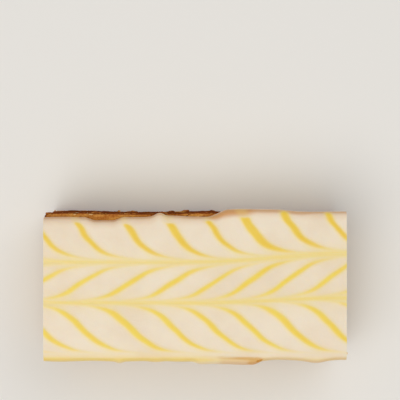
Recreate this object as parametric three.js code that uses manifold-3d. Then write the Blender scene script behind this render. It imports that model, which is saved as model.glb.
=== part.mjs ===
// An iced custard mille feuille slice: a flaky base sheet, a block of set custard, a flaky lid sheet,
// and white icing with feathered yellow lines that has run over the long edges.
// Millimetres, +Z up. X runs along the slice from cut end to cut end, and Y across it.
import * as THREE from "three";
import { mergeVertices } from "three/addons/utils/BufferGeometryUtils.js";
import Module from "manifold-3d";

// ---- Driving dimensions ----------------------------------------------------------------------------
const LENGTH = 92; // between the cut ends
const BASE = { thick: 6, front: -22.2, back: 22.9, leaves: 5, seed: 11 };
const CUSTARD = { thick: 13, front: -21.9, back: 22.25, rings: 8, seed: 23 };
const LID = { thick: 5.2, front: -21.3, back: 22.5, leaves: 5, seed: 37 };
const ICING_THICK = 3;

const CORNER_RADIUS = 1.2; // upright corners where a cut end meets a long side
const STEPS_ALONG = 34; // facets along a long side
const STEPS_ACROSS = 17; // facets across a cut end
const STEPS_CORNER = 3; // facets round a corner

// How far the baked edges of both sheets stray towards +Y at each x: long low waves, and at the back
// less over a stretch that has shrunk.
const BACK_WAVES = [{ high: 0.18, length: 7, phase: 0.6 }];
const BACK_HOLLOW = { deep: 0.45, from: 5, to: 60, blend: 5 };
const FRONT_WAVES = [
  { high: 0.2, length: 9, phase: 2 },
  { high: 0.1, length: 3.1, phase: 0 },
];

const LEAF_SHARE = 0.62; // of the height from one leaf to the next, the rest is the gap
const LEAF_INSET = 1.1; // how far the most broken leaf edge lies inside the outline
const LEAF_RAGGED = 0.55; // how quickly a leaf's edge goes from whole to broken
const SKIN_SHARE = 0.35; // of that inset, on the firmer outermost leaves
const GAP_DEPTH = 0.68; // how far the gap between two leaves runs in behind their edges
const GAP_UNEVEN = 0.32; // how much deeper or shallower that gets
const LEAF_LIFT = 0.14; // how far a leaf rises and falls along its edge

// Unevenness round the outline is a sum of waves, each with a whole number of them between two limits.
const WAVES = 7;
const INSET_COUNTS = [9, 44];
const LIFT_COUNTS = [6, 24];
const DEPTH_COUNTS = [12, 40];
const CUSTARD_COUNTS = [3, 17];
const LIFT_SEED = 100; // beyond a leaf's own seed, for how it rises and falls
const DEPTH_SEED = 200; // and for the gap above it

const CUSTARD_BULGE = 0.55; // the custard's side stands out by this much at half height
const CUSTARD_WAVE = 0.18; // unevenness of that side

const SHOULDER = 2; // the icing's top rounds over within this distance of its edge
const LID_GAP = 0.3; // clear of the lid, where the icing hangs beside it
const LEAST_WALL = 0.3; // the thinnest hanging icing
const HANG = 2.4; // how far the icing hangs below the lid's top
const HANG_BLEND = 0.6; // of further reach, over which it grows from nothing to that
// The rolled edge in section. Its hanging part: shares of the hanging wall's thickness outwards and of
// the hang downwards. Its belly: how far inside the edge, how far up, and the share of the hang by
// which that sinks. Its standing part: shares of the shoulder inwards and of the thickness upwards.
const EDGE_HANGING = [
  [0.3, 1],
  [0.75, 0.96],
];
const EDGE_BELLY = { inside: 0.04, up: 0.35, sinks: 0.45 };
const EDGE_STANDING = [
  [0, 0.36],
  [0.14, 0.68],
  [0.5, 0.92],
  [1, 1],
];
const ICING_STATIONS = 52; // cross-sections along the icing

// The icing's back edge stops short of the lid's along the -X half, but for one tongue with a lower
// swell beside it, and has run over it along the +X half, a little less so towards the end.
const ICING_BACK = {
  at: 21.2,
  ripple: { high: 0.05, length: 2.2, phase: 0.7 },
  tongues: [
    { far: 1.1, at: -10.9, spread: 1.75 },
    { far: 0.45, at: -6.4, spread: 3.9 },
  ],
  shrunk: { far: 1.1, from: -34, to: -25.3, blend: 4 },
  runsOver: { far: 2.45, from: 3.5, blend: 7 },
  runsLess: { far: 0.75, from: 23, blend: 9 },
};
// Its front edge has run over the lid's all along, with one broad lobe and three drips, and a little
// less far beyond the lobe.
const ICING_FRONT = {
  at: -22.65,
  ripple: { high: 0.14, length: 3, phase: -0.4 },
  lobe: { far: 0.95, from: -1.1, to: 16.8, blend: 3 },
  runsLess: { far: 0.25, from: 17, blend: 3 },
  drips: [
    { far: 0.5, at: -23, spread: 1.1 },
    { far: 0.43, at: -12, spread: 2.3 },
    { far: 0.7, at: 37, spread: 3.5 },
  ],
};

// The skewer was drawn along the slice three times. "y" is where, "pull" how strongly it dragged the
// piped lines, positive towards +X.
const DRAGS = [
  { y: 7.56, pull: 5.9 },
  { y: -4.75, pull: -4.66 },
  { y: -20.82, pull: 5.78 },
];
const DRAG_SHIFT = 6.8; // moves the whole dragged pattern along X
const DRAG_CLIMB = 2.4; // the drag lines climb by this much from the middle to the +X end
const PIPED_AT = [-33.6, -20.85, -6.23, 6.88, 19.17, 30.21, 42.24]; // the piped lines, before dragging
const PIPED_PITCH = 12.6; // spacing of the lines piped beyond these, cut off at the ends
const PIPED_BEFORE = 2;
const PIPED_AFTER = 3;
const LINE_WIDTH = 2.3;
const LINE_HEIGHT = 0.28; // a line stands this proud of the icing
const LINE_ROOT = 0.5; // and reaches this far into it
const LINE_CREST = 0.45; // of its width is flat on top
const LINE_TAIL = 0.35; // of its width is left where it has thinned out
const LINE_TAPER = 0.2; // of a stroke's steps, over which it thins out
const STROKE_STEPS = 11;
const STROKE_REACH = 2.6; // how close a stroke runs to its drag line, as a power of e
const STROKE_SHORT = 0.4; // the last strokes end this much before the last drag line
const LEAST_SCRAP = 0.01; // a smaller volume of a line that is left at a cut end is dropped
const SAME_POINT = 1e-4; // corners closer than this are one

// ---- Heights ---------------------------------------------------------------------------------------
const CUSTARD_Z = BASE.thick;
const LID_Z = CUSTARD_Z + CUSTARD.thick;
const ICING_Z = LID_Z + LID.thick;
const TOP_Z = ICING_Z + ICING_THICK;

const HALF = LENGTH / 2;

// ---- Small helpers ---------------------------------------------------------------------------------
const smooth = (t) => THREE.MathUtils.smoothstep(t, 0, 1);
const step = (x, { from, blend }) => smooth((x - from) / blend);
const bump = (x, { at, spread }) => Math.exp(-(((x - at) / spread) ** 2));
const plateau = (x, { from, to, blend }) =>
  smooth((x - from) / blend) - smooth((x - to) / blend);
const ripple = (x, { high, length, phase }) => high * Math.sin(x / length + phase);
const sum = (list, value) => list.reduce((total, item) => total + value(item), 0);

// A repeatable source of numbers from 0 to 1.
function randomFrom(seed) {
  let state = seed;
  return () => {
    state = (state * 1664525 + 1013904223) % 4294967296;
    return state / 4294967296;
  };
}

// A smooth uneven function round a closed outline, from about -1 to 1; "turns" is its place, 0 to 1.
function unevenRound(seed, [fewest, most]) {
  const random = randomFrom(seed);
  const waves = Array.from({ length: WAVES }, () => ({
    count: Math.round(THREE.MathUtils.lerp(fewest, most, random())),
    phase: random() * 2 * Math.PI,
  }));
  const high = 1.2 / Math.sqrt(WAVES);
  return (turns) =>
    high * sum(waves, ({ count, phase }) => Math.sin(2 * Math.PI * count * turns + phase));
}

// ---- Solids from rings -----------------------------------------------------------------------------
// Joins rings of points into one closed surface. Each ring runs anticlockwise seen from the last ring's
// end, and "flat" gives a ring point's two coordinates in the plane of the end caps.
function loft(rings, flat) {
  const size = rings[0].length;
  const index = [];
  for (let k = 0; k < rings.length - 1; k++) {
    for (let i = 0; i < size; i++) {
      const next = (i + 1) % size;
      const [a, b] = [k * size + i, k * size + next];
      index.push(a, b, b + size, a, b + size, a + size);
    }
  }
  const cap = (ring, first, facing) => {
    const corners = ring.map(flat);
    for (const face of THREE.ShapeUtils.triangulateShape(corners, [])) {
      const area = THREE.ShapeUtils.area(face.map((i) => corners[i]));
      const turned = area * facing > 0 ? face : [face[0], face[2], face[1]];
      index.push(...turned.map((i) => first + i));
    }
  };
  cap(rings[0], 0, -1);
  cap(rings.at(-1), (rings.length - 1) * size, 1);
  return new THREE.BufferGeometry()
    .setFromPoints(rings.flat())
    .setIndex(index);
}

const seenFromAbove = (p) => new THREE.Vector2(p.x, p.y);
const seenFromEnd = (p) => new THREE.Vector2(p.y, p.z);

// ---- The layers' outline ---------------------------------------------------------------------------
// Places round a rectangle with rounded corners, anticlockwise: "along" and "across" run from -1 to 1
// over the straight part of each side, and "angle" points out of the corner arc.
function outlinePlaces() {
  const places = [];
  const side = (steps, from, to, angle) => {
    for (let i = 0; i < steps; i++) {
      const t = i / steps;
      places.push({
        along: THREE.MathUtils.lerp(from[0], to[0], t),
        across: THREE.MathUtils.lerp(from[1], to[1], t),
        angle,
      });
    }
  };
  const corner = (along, across, angle) => {
    for (let i = 0; i < STEPS_CORNER; i++) {
      const turn = (i / STEPS_CORNER) * (Math.PI / 2);
      places.push({ along, across, angle: angle + turn });
    }
  };
  side(STEPS_ALONG, [-1, -1], [1, -1], -Math.PI / 2);
  corner(1, -1, -Math.PI / 2);
  side(STEPS_ACROSS, [1, -1], [1, 1], 0);
  corner(1, 1, 0);
  side(STEPS_ALONG, [1, 1], [-1, 1], Math.PI / 2);
  corner(-1, 1, Math.PI / 2);
  side(STEPS_ACROSS, [-1, 1], [-1, -1], Math.PI);
  corner(-1, -1, Math.PI);
  return places.map((place, i) => ({ ...place, turns: i / places.length }));
}

const PLACES = outlinePlaces();

// How far the back and the front edge of a sheet stray towards +Y at x.
const strayBack = (x) =>
  sum(BACK_WAVES, (wave) => ripple(x, wave)) - BACK_HOLLOW.deep * plateau(x, BACK_HOLLOW);
const strayFront = (x) => sum(FRONT_WAVES, (wave) => ripple(x, wave));

// The point of a layer's side at one place of the outline, "inset" inside it and at height z.
function sidePoint(layer, place, inset, z) {
  const reach = HALF - inset - CORNER_RADIUS;
  const half = (layer.back - layer.front) / 2 - inset - CORNER_RADIUS;
  const middle = (layer.back + layer.front) / 2;
  const x = place.along * reach + CORNER_RADIUS * Math.cos(place.angle);
  const y = place.across * half + CORNER_RADIUS * Math.sin(place.angle);
  const stray = y > 0 ? strayBack(x) : strayFront(x);
  return new THREE.Vector3(x, middle + y + (stray * Math.abs(y)) / half, z);
}

// ---- Flaky sheets ----------------------------------------------------------------------------------
// Each leaf of pastry is two rings, its lower and upper rim, and a ring deeper in between two leaves
// makes the gap. The rims wander in and out and up and down on their own.
function flakySheet(layer, bottom) {
  const pitch = layer.thick / (layer.leaves - 1 + LEAF_SHARE);
  const last = layer.leaves - 1;
  const wander = PLACES.map(() => []);
  for (let leaf = 0; leaf <= last; leaf++) {
    const inOut = unevenRound(layer.seed + leaf, INSET_COUNTS);
    const upDown = unevenRound(layer.seed + leaf + LIFT_SEED, LIFT_COUNTS);
    const depth = unevenRound(layer.seed + leaf + DEPTH_SEED, DEPTH_COUNTS);
    const most = LEAF_INSET * (leaf === 0 || leaf === last ? SKIN_SHARE : 1);
    PLACES.forEach((place, i) => {
      wander[i].push({
        inset: most * smooth(0.5 + LEAF_RAGGED * inOut(place.turns)),
        lift: LEAF_LIFT * upDown(place.turns),
        depth: GAP_DEPTH + GAP_UNEVEN * depth(place.turns),
      });
    });
  }
  const rings = [];
  for (let leaf = 0; leaf <= last; leaf++) {
    const low = bottom + leaf * pitch;
    const high = low + pitch * LEAF_SHARE;
    const rim = (z, held) =>
      PLACES.map((place, i) => {
        const { inset, lift } = wander[i][leaf];
        return sidePoint(layer, place, inset, held ? z : z + lift);
      });
    rings.push(rim(low, leaf === 0));
    rings.push(rim(leaf === last ? bottom + layer.thick : high, leaf === last));
    if (leaf === last) break;
    const middle = (high + low + pitch) / 2;
    rings.push(
      PLACES.map((place, i) => {
        const [here, above] = [wander[i][leaf], wander[i][leaf + 1]];
        const inset = Math.max(here.inset, above.inset) + here.depth;
        const lift = (here.lift + above.lift) / 2;
        return sidePoint(layer, place, inset, middle + lift);
      }),
    );
  }
  return loft(rings, seenFromAbove);
}

// ---- The custard -----------------------------------------------------------------------------------
// A block whose sides stand out at half height and wander a little.
function custardBlock() {
  const rings = [];
  const lower = unevenRound(CUSTARD.seed, CUSTARD_COUNTS);
  const upper = unevenRound(CUSTARD.seed + 1, CUSTARD_COUNTS);
  for (let k = 0; k < CUSTARD.rings; k++) {
    const t = k / (CUSTARD.rings - 1);
    const crown = CUSTARD_BULGE * Math.sin(Math.PI * t);
    rings.push(
      PLACES.map((place) => {
        const uneven = THREE.MathUtils.lerp(lower(place.turns), upper(place.turns), t);
        const inset = CUSTARD_BULGE + CUSTARD_WAVE * (1 + uneven) - crown;
        return sidePoint(CUSTARD, place, inset, CUSTARD_Z + t * CUSTARD.thick);
      }),
    );
  }
  return loft(rings, seenFromAbove);
}

// ---- The icing -------------------------------------------------------------------------------------
// Where the icing's back and front edges lie at x.
function icingBack(x) {
  const { at, tongues, shrunk, runsOver, runsLess } = ICING_BACK;
  const run = runsOver.far * step(x, runsOver) - runsLess.far * step(x, runsLess);
  const swell = sum(tongues, (tongue) => tongue.far * bump(x, tongue));
  return at + run + swell - shrunk.far * plateau(x, shrunk) + ripple(x, ICING_BACK.ripple);
}

function icingFront(x) {
  const { at, lobe, runsLess, drips } = ICING_FRONT;
  const run = lobe.far * plateau(x, lobe) - runsLess.far * step(x, runsLess);
  const swell = sum(drips, (drip) => drip.far * bump(x, drip));
  return at - run - swell + ripple(x, ICING_FRONT.ripple);
}

// One edge of the icing in section, from the tip of its underside to its flat top. "out" is 1 for the
// back edge and -1 for the front one, and distances are counted outwards.
function icingEdge(out, edge, lidEdge) {
  const [reach, lid] = [out * edge, out * lidEdge];
  const knee = Math.min(lid + LID_GAP, reach - LEAST_WALL);
  const over = (reach - lid - LID_GAP - LEAST_WALL) / HANG_BLEND;
  const hang = HANG * smooth(over);
  const wall = reach - knee;
  const points = [
    [knee, 0],
    ...EDGE_HANGING.map(([across, down]) => [knee + across * wall, -down * hang]),
    [reach - EDGE_BELLY.inside, EDGE_BELLY.up - EDGE_BELLY.sinks * hang],
    ...EDGE_STANDING.map(([inside, up]) => [reach - inside * SHOULDER, up * ICING_THICK]),
  ];
  return points.map(([y, z]) => [out * y, ICING_Z + z]);
}

function icingSlab() {
  const rings = [];
  for (let k = 0; k <= ICING_STATIONS; k++) {
    const x = THREE.MathUtils.lerp(-HALF, HALF, k / ICING_STATIONS);
    const back = icingEdge(1, icingBack(x), LID.back + strayBack(x));
    const front = icingEdge(-1, icingFront(x), LID.front + strayFront(x));
    rings.push(
      [...back, ...front.reverse()].map(([y, z]) => new THREE.Vector3(x, y, z)),
    );
  }
  return loft(rings, seenFromEnd);
}

// ---- The feathered lines ---------------------------------------------------------------------------
// How far a piped line is dragged along X at y: each pass of the skewer pulls it by the logarithm of
// the distance to that pass.
const dragged = (y) =>
  DRAG_SHIFT - sum(DRAGS, (drag) => drag.pull * Math.log(Math.abs(y - drag.y)));

// The pattern climbs a little towards the +X end, less so nearer the front drag line.
function climb(x, y) {
  const [first, last] = [DRAGS[0].y, DRAGS.at(-1).y];
  const lift = DRAG_CLIMB * smooth(x / HALF);
  return last + (y - last) / (1 - lift / (first - last));
}

// The places y of one stroke between two drag lines, crowding towards them.
function strokeBetween(from, to) {
  return Array.from({ length: STROKE_STEPS }, (_, i) => {
    const u = STROKE_REACH * ((2 * i) / (STROKE_STEPS - 1) - 1);
    return THREE.MathUtils.lerp(from, to, 1 / (1 + Math.exp(-u)));
  });
}

// The same from the icing's back edge to a drag line, crowding only towards that.
function strokeFromEdge(from, to) {
  return Array.from({ length: STROKE_STEPS }, (_, i) => {
    const u = (STROKE_REACH * i) / (STROKE_STEPS - 1);
    return THREE.MathUtils.lerp(to, from, Math.exp(-u));
  });
}

// One stroke of a line: a low bead whose section lies along the slice, thinner towards its ends.
function stroke(lineX, places, startsThin) {
  const rings = places.map((y, i) => {
    const t = i / (places.length - 1);
    const full = Math.min(startsThin ? t / LINE_TAPER : 1, (1 - t) / LINE_TAPER, 1);
    const share = THREE.MathUtils.lerp(LINE_TAIL, 1, full);
    const half = (share * LINE_WIDTH) / 2;
    const x = lineX + dragged(y);
    const [root, crest] = [TOP_Z - LINE_ROOT, TOP_Z + share * LINE_HEIGHT];
    const section = [
      [x - half, root],
      [x + half, root],
      [x + half * LINE_CREST, crest],
      [x - half * LINE_CREST, crest],
    ];
    return section.map(([px, pz]) => new THREE.Vector3(px, climb(px, y), pz));
  });
  return loft(rings, (p) => new THREE.Vector2(p.x, p.z));
}

// Every line: from the back shoulder to the first drag line, on to the second, and on to the third.
function featherStrokes() {
  const [first, second, third] = DRAGS.map((drag) => drag.y);
  const count = PIPED_BEFORE + PIPED_AT.length + PIPED_AFTER;
  const lines = Array.from({ length: count }, (_, i) => {
    const n = i - PIPED_BEFORE;
    const beyond = n < 0 ? n : Math.max(0, n - PIPED_AT.length + 1);
    return PIPED_AT[THREE.MathUtils.clamp(n, 0, PIPED_AT.length - 1)] + beyond * PIPED_PITCH;
  });
  return lines.flatMap((lineX) => {
    const startX = lineX + dragged(icingBack(lineX) - SHOULDER);
    const shoulder = icingBack(startX) - SHOULDER - climb(startX, 0);
    return [
      stroke(lineX, strokeFromEdge(shoulder, first), false),
      stroke(lineX, strokeBetween(first, second), true),
      stroke(lineX, strokeBetween(second, third + STROKE_SHORT), true),
    ];
  });
}

// ---- Joining with manifold-3d ----------------------------------------------------------------------
const wasm = await Module();
wasm.setup();

function solidOf(geometry) {
  const bare = geometry.clone();
  bare.deleteAttribute("normal");
  bare.deleteAttribute("uv");
  const merged = mergeVertices(bare, SAME_POINT);
  return new wasm.Manifold(
    new wasm.Mesh({
      numProp: 3,
      vertProperties: merged.attributes.position.array,
      triVerts: new Uint32Array(merged.index.array),
    }),
  );
}

function geometryOf(solid) {
  const mesh = solid.getMesh();
  return new THREE.BufferGeometry()
    .setAttribute("position", new THREE.BufferAttribute(mesh.vertProperties, 3))
    .setIndex(new THREE.BufferAttribute(mesh.triVerts, 1));
}

// The icing with its lines, cut off square at the two ends.
function featheredIcing() {
  const room = new THREE.BoxGeometry(LENGTH, LENGTH, 2 * ICING_THICK).translate(0, 0, TOP_Z);
  const betweenEnds = solidOf(room);
  let icing = solidOf(icingSlab());
  for (const line of featherStrokes()) {
    const kept = solidOf(line).intersect(betweenEnds);
    if (kept.volume() > LEAST_SCRAP) icing = icing.add(kept);
  }
  return geometryOf(icing);
}

// ---- The slice -------------------------------------------------------------------------------------
const pastry = () =>
  new THREE.MeshStandardMaterial({ color: 0xc98f4e, roughness: 0.75, metalness: 0 });
const custard = () =>
  new THREE.MeshStandardMaterial({ color: 0xf0d48a, roughness: 0.45, metalness: 0 });
const icing = () =>
  new THREE.MeshStandardMaterial({ color: 0xeddcc2, roughness: 0.4, metalness: 0 });

const slice = new THREE.Group();
slice.name = "mille_feuille_slice";

function addPiece(name, geometry, material) {
  geometry.computeVertexNormals();
  const mesh = new THREE.Mesh(geometry, material);
  mesh.name = name;
  slice.add(mesh);
}

addPiece("pastry_base", flakySheet(BASE, 0), pastry());
addPiece("custard", custardBlock(), custard());
addPiece("pastry_lid", flakySheet(LID, LID_Z), pastry());
addPiece("icing", featheredIcing(), icing());

// The origin is under the middle of the slice, on the surface that it stands on.
const bounds = new THREE.Box3().setFromObject(slice);
const middle = bounds.getCenter(new THREE.Vector3());
slice.position.set(-middle.x, -middle.y, 0);

export default slice;
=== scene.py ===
"""An iced custard mille feuille slice, on a pale floor in soft light.

Four layers lie on each other: a flaky base sheet, a block of set custard, a flaky lid sheet, and white
icing with yellow lines that a skewer has dragged into feathers. Each one is a surface worked out as whole
arrays. X runs along the slice, Y across it and Z up. Shapes and patterns are worked out in millimetres,
and in_metres turns them into the metres of the meshes.
"""

import bpy
import numpy as np
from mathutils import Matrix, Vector


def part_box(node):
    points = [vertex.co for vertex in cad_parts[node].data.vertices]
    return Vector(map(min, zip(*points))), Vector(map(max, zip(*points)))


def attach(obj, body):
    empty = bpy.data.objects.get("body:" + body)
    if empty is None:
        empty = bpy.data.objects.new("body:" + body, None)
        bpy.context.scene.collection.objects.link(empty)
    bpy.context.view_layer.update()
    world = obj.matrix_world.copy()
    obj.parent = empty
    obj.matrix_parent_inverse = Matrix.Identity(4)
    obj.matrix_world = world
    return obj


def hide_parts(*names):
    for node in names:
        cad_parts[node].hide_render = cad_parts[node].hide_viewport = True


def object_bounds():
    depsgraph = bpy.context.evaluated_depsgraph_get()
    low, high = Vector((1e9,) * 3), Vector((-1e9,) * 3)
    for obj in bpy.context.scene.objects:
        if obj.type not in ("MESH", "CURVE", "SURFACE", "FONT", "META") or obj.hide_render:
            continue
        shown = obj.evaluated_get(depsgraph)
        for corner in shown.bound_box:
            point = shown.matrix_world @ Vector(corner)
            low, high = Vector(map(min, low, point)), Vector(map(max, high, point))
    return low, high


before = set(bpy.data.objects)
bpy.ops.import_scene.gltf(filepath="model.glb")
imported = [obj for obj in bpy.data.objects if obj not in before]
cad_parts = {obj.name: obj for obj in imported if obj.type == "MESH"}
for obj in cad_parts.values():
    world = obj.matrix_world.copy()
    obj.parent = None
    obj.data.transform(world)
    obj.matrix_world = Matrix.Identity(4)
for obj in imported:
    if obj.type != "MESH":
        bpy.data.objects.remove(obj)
CAD_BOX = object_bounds()

MM = 0.001

# ---- Driving dimensions, in millimetres ----


def heights(node):
    """The lowest and the highest height of a CAD node."""
    low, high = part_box(node)
    return low.z / MM, high.z / MM


BASE_Z, CUSTARD_Z = heights("pastry_base")
LID_Z, ICING_Z = heights("pastry_lid")
ICING_THICK = 3.0
TOP_Z = ICING_Z + ICING_THICK
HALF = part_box("icing")[1].x / MM  # from the middle to a cut end

CORNER_RADIUS = 1.2
BASE_SIDES = (-22.2, 22.9)  # front and back, before they stray
CUSTARD_SIDES = (-21.9, 22.25)
LID_SIDES = (-21.3, 22.5)
BASE_LEAVES = 13
LID_LEAVES = 11

# How long edges stray. WAVES: height, length, phase. RUNS: how far, start, blend. SWELLS and DRIPS: how
# far, middle, spread. HOLLOW, SHRUNK and LOBE: how far, start, end, blend. The sheets' stray towards +Y.
SHEET_BACK_WAVES = ((0.18, 7.0, 0.6),)
SHEET_BACK_HOLLOW = (0.45, 5.0, 60.0, 5.0)
SHEET_FRONT_WAVES = ((0.2, 9.0, 2.0), (0.1, 3.1, 0.0))

# The icing's edges stray outwards from a straight line.
BACK_AT = 21.2
BACK_WAVES = ((0.05, 2.2, 0.7),)
BACK_SWELLS = ((1.1, -10.9, 1.75), (0.45, -6.4, 3.9))
BACK_RUNS = ((2.45, 3.5, 7.0), (-0.75, 23.0, 9.0))
BACK_SHRUNK = (1.1, -34.0, -25.3, 4.0)
FRONT_AT = -22.72
FRONT_WAVES = ((0.14, 3.0, -0.4),)
FRONT_DRIPS = ((0.5, -23.0, 1.1), (0.43, -12.0, 2.3), (0.7, 37.0, 3.5))
FRONT_RUNS = ((-0.3, 19.5, 5.0),)
FRONT_LOBE = (0.95, -1.5, 17.4, 3.6)

SHOULDER = 2.0  # the icing's top rounds over within this distance of its edge
LID_GAP = 0.3  # clear of the lid, where the icing hangs beside it
LEAST_WALL = 0.3  # the thinnest hanging icing
HANG = 2.4  # how far the icing hangs below the lid's top
LEAST_HANG = 0.12  # and where it doesn't reach past the lid
HANG_BLEND = 0.6  # of further reach, over which it grows from one to the other

# The skewer's three passes: where, and how strongly each dragged the piped lines towards +X.
DRAGS = ((7.56, 5.9), (-4.75, -4.66), (-20.82, 5.78))
HAZY_DRAGS = DRAGS[:2]  # those that smeared yellow along themselves
DRAG_SHIFT = 6.8  # moves the whole dragged pattern along X
DRAG_CLIMB = 2.4  # about how far the first pass climbs towards the +X end
DRAG_BLUNT = 0.22  # radius of the skewer's tip
PIPED_AT = (-33.6, -20.85, -6.23, 6.88, 19.17, 30.21, 42.24)  # the piped lines, before dragging
# How wide each is at the back and at the front, and how far inside the back edge it starts.
PIPED_WIDTH = ((2.0, 2.3), (2.1, 2.4), (2.2, 2.75), (2.4, 2.35), (1.9, 2.3), (2.9, 2.15), (2.3, 2.5))
PIPED_FROM = (1.5, 1.6, 2.1, 2.4, 1.1, 2.7, 0.4)
PIPED_PITCH = 12.6  # spacing of the lines piped beyond these, cut off at the ends
PIPED_BEFORE = 2
PIPED_AFTER = 3

# A pair called OVER says from where to where something sets in along an axis.
FRONT_OVER = (10.0, -8.0)  # a line's width at the front
LINE_WANDER = ((0.2, 0.5, 0.35), (0.1, 0.3, -0.9))  # how far, and how quickly along X and along Y
LINE_LEAN = 0.5  # how far the lines' starts lean towards -X
LEAN_OVER = (17.5, 20.5)
LINE_THINS = 0.4  # 1 would keep a dragged line as wide as it was piped, 0 draws it out fully
LINE_BLUR = 1.05
START_BLEND = (-1.0, 0.7)  # before and after a line's start
LINES_OVER = (-20.6, -19.3)  # from none at the last pass
LINE_RELIEF = 0.12
RELIEF_BLUR = 0.7


# ---- Functions for arrays and for shader sockets ----


class Wire:
    """An output socket of a material. Arithmetic on it adds Math nodes to the material."""

    def __init__(self, finish, socket):
        self.finish = finish
        self.socket = socket

    def maths(self, operation, *values):
        inputs = dict(enumerate(values))
        return self.finish.node("ShaderNodeMath", {"operation": operation}, inputs)

    def __add__(self, other):
        return self.maths("ADD", self, other)

    def __sub__(self, other):
        return self.maths("SUBTRACT", self, other)

    def __rsub__(self, other):
        return self.maths("SUBTRACT", other, self)

    def __mul__(self, other):
        return self.maths("MULTIPLY", self, other)

    def __truediv__(self, other):
        return self.maths("DIVIDE", self, other)

    def __rtruediv__(self, other):
        return self.maths("DIVIDE", other, self)

    def __neg__(self):
        return self * -1.0

    def __pow__(self, other):
        return self.maths("POWER", self, other)

    __radd__ = __add__
    __rmul__ = __mul__


def log(v):
    return v.maths("LOGARITHM", v, np.e) if isinstance(v, Wire) else np.log(v)


def sine(v):
    return v.maths("SINE", v) if isinstance(v, Wire) else np.sin(v)


def greater(a, b):
    return a.maths("MAXIMUM", a, b) if isinstance(a, Wire) else np.maximum(a, b)


def ease(v, low=0.0, high=1.0):
    """0 up to low, 1 from high on, and the smooth step 3t^2 - 2t^3 between them; low may lie above high."""
    if isinstance(v, Wire):
        settings = {"interpolation_type": "SMOOTHSTEP"}
        inputs = {"Value": v, "From Min": low, "From Max": high}
        return v.finish.node("ShaderNodeMapRange", settings, inputs)
    t = np.clip((v - low) / (high - low), 0.0, 1.0)
    return t * t * (3.0 - 2.0 * t)


def bell(v, at, spread):
    """exp(-t^2), where t is the distance from the middle in spreads."""
    return np.exp(-(((v - at) / spread) ** 2))


def plateau(v, start, end, blend):
    """0, eased up to 1 within a blend of the start, and back to 0 within a blend past the end."""
    return ease((v - start) / blend) - ease((v - end) / blend)


def shelf(v, part):
    """A plateau of some height."""
    far, *where = part
    return far * plateau(v, *where)


def waves(v, parts):
    """A sum of sines."""
    return sum(height * np.sin(v / length + phase) for height, length, phase in parts)


def runs(v, parts):
    """A sum of smooth steps."""
    return sum(far * ease((v - start) / blend) for far, start, blend in parts)


def swells(v, parts):
    """A sum of bells."""
    return sum(far * bell(v, at, spread) for far, at, spread in parts)


def line(v, height, slope, at):
    """A straight line of that slope, which has the height at a place."""
    return height + slope * (v - at)


# ---- Unevenness ----

# The factors of a cell's three numbers and its seed, and the steps of mixing: bits to shift by, factor.
CELL_FACTORS = (73856093, 19349663, 83492791, 40503081)
MIXING = ((15, 0x2C1B3C6D), (12, 0x297A2D39), (15, 1))
ALL_BITS = 0xFFFFFFFF

FLAT = 0.5  # where lumps in space are cut for a flat pattern
SKIN_CUT = 3.3  # and where for a baked face
LEVEL_STEP = 7.31  # so far apart lie the cuts for two levels of a side


def hashed(*numbers):
    """A repeatable value from -1 to 1 for a cell and a seed: the exclusive or of their products with
    large factors, mixed by shifts and products."""
    mixed = 0
    for number, factor in zip(numbers, CELL_FACTORS):
        mixed = mixed ^ (number * factor)
    mixed = mixed & ALL_BITS
    for shift, factor in MIXING:
        mixed = ((mixed ^ (mixed >> shift)) * factor) & ALL_BITS
    return mixed / 2.0**31 - 1.0


def lumps(x, y, z, seed):
    """Smooth unevenness in space, about -1 to 1: the hashed values at the corners of the unit cell round
    each point, blended by the quintic step 6t^5 - 15t^4 + 10t^3 along each axis."""
    places = np.broadcast_arrays(x, y, z)
    cells = [np.floor(v).astype(np.int64) for v in places]
    parts = [v - c for v, c in zip(places, cells)]
    eased = [t**3 * (t * (6.0 * t - 15.0) + 10.0) for t in parts]
    total = np.zeros(places[0].shape)
    for corner in np.ndindex(2, 2, 2):
        weight = 1.0
        for t, side in zip(eased, corner):
            weight = weight * (t if side else 1.0 - t)
        total += weight * hashed(*(c + side for c, side in zip(cells, corner)), seed)
    return total


def rough(x, y, z, seed, octaves=3):
    """Lumps with smaller lumps on them, each octave half as large and half as high as the one before.
    Places are given divided by the size of the largest."""
    return sum(lumps(x * 2**o, y * 2**o, z * 2**o, seed + o) / 2**o for o in range(octaves))


# ---- The icing's edges and the dragged pattern ----


def stray_back(x):
    """How far the sheets' back edges stray towards +Y."""
    return waves(x, SHEET_BACK_WAVES) - shelf(x, SHEET_BACK_HOLLOW)


def stray_front(x):
    """How far their front edges stray towards +Y."""
    return waves(x, SHEET_FRONT_WAVES)


def icing_back(x):
    """Where the icing's back edge lies: short of the lid's edge on the left, run over it on the right."""
    run = runs(x, BACK_RUNS) + swells(x, BACK_SWELLS)
    return BACK_AT + run - shelf(x, BACK_SHRUNK) + waves(x, BACK_WAVES)


def icing_front(x):
    """Where its front edge lies: run over the lid's edge all along, with a lobe and a few drips."""
    run = runs(x, FRONT_RUNS) + swells(x, FRONT_DRIPS) + shelf(x, FRONT_LOBE)
    return FRONT_AT - run + waves(x, FRONT_WAVES)


STATIONS = np.linspace(-HALF, HALF, 231)  # where the icing is worked out in section
CAD_STATIONS = np.linspace(-HALF, HALF, 53)
DRIFT = CAD_BOX[1].y / MM - icing_back(CAD_STATIONS).max()  # the row frame's y, less ours


def in_metres(points):
    """The slice's own millimetres as metres in the row frame."""
    return (points + [0.0, DRIFT, 0.0]) * MM


def unclimbed(x, y):
    """y as it was before the pattern climbed towards the +X end."""
    first, last = DRAGS[0][0], DRAGS[-1][0]
    lift = DRAG_CLIMB * ease(x / HALF)
    return last + (y - last) * (1.0 - lift / (first - last))


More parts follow.
